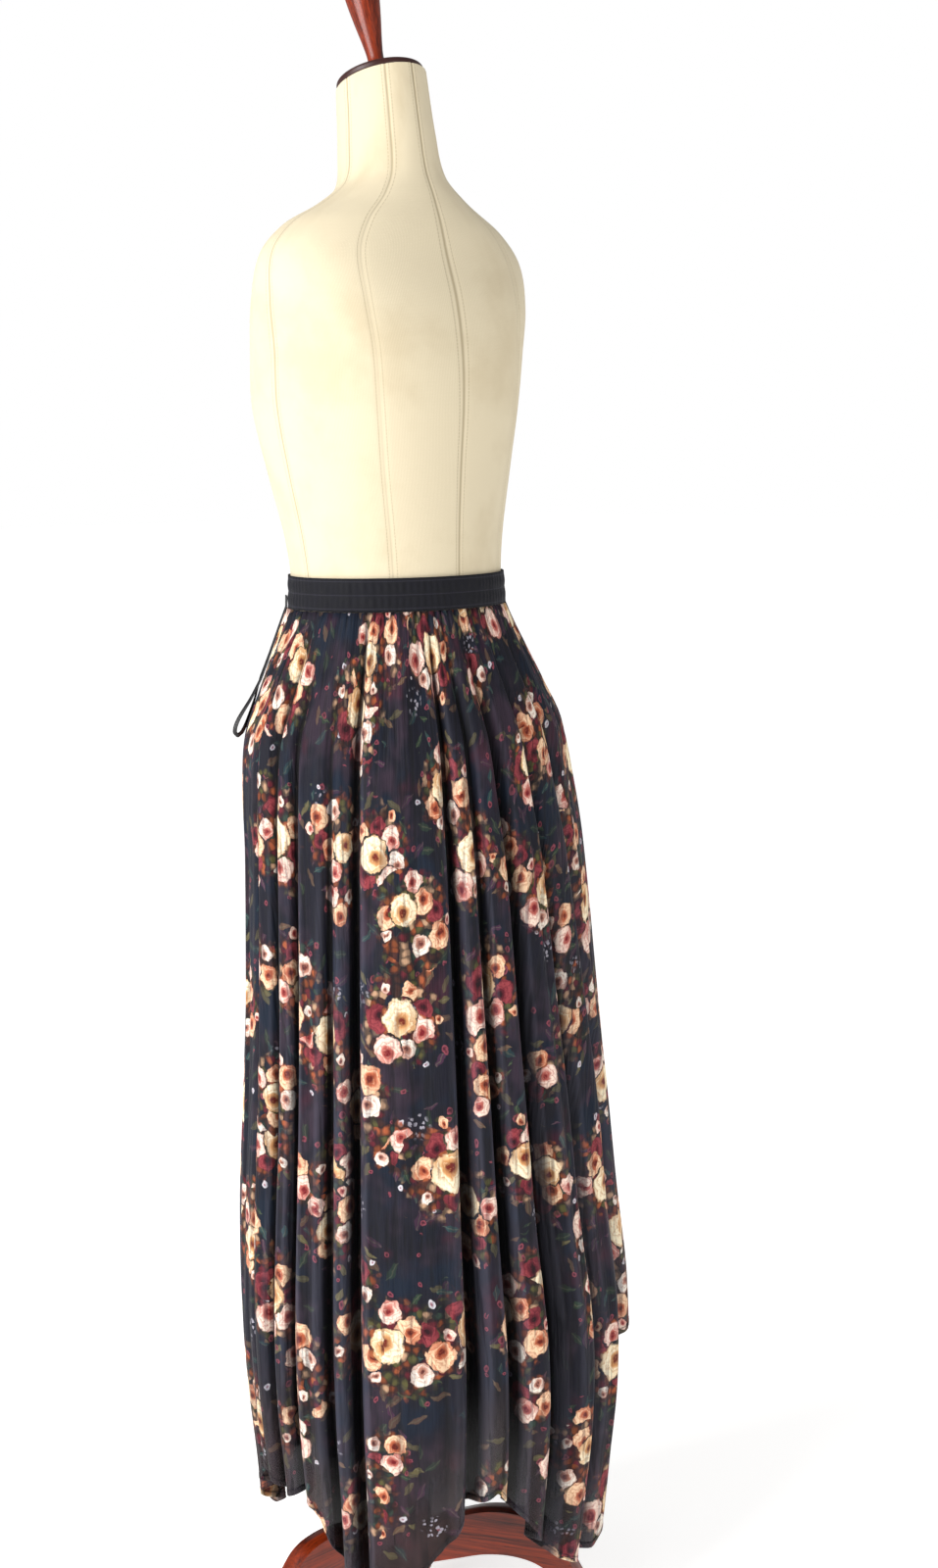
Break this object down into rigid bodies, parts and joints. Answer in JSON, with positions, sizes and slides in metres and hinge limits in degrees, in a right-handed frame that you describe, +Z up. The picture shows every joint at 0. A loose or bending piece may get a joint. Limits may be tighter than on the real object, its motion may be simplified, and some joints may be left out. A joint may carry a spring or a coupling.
{
  "type": "handkerchief hem skirt on a dress form",
  "caption": "Gathered floral maxi skirt with a pointed handkerchief hem, elastic waistband and hanger loops, on a limbless dress form with a pole and a wooden tripod.",
  "frame": {"origin": "on the floor, under the middle of the box round the whole part", "axes": "+Z up, the form faces -Y, +X is the form's left side"},
  "size_m": [0.4588, 0.4682, 1.7857],
  "materials": {
    "printed_mesh": "dark floral print, slightly see-through low down",
    "casing": "gathered over elastic",
    "loop_cord": "satin",
    "form_cover": "plain cream jersey",
    "cap_paint": "dark satin paint",
    "stained_wood": "reddish-brown stain, satin varnish"
  },
  "bodies": {
    "root": {"skirt_front": "printed_mesh", "skirt_back": "printed_mesh", "waistband": "casing", "hanger_loop_left": "loop_cord", "hanger_loop_right": "loop_cord", "form_torso": "form_cover", "neck_cap": "cap_paint", "finial": "stained_wood", "pole": "stained_wood", "base_hub": "stained_wood", "leg_left": "stained_wood", "leg_back": "stained_wood", "leg_front": "stained_wood"}
  },
  "joints": []
}
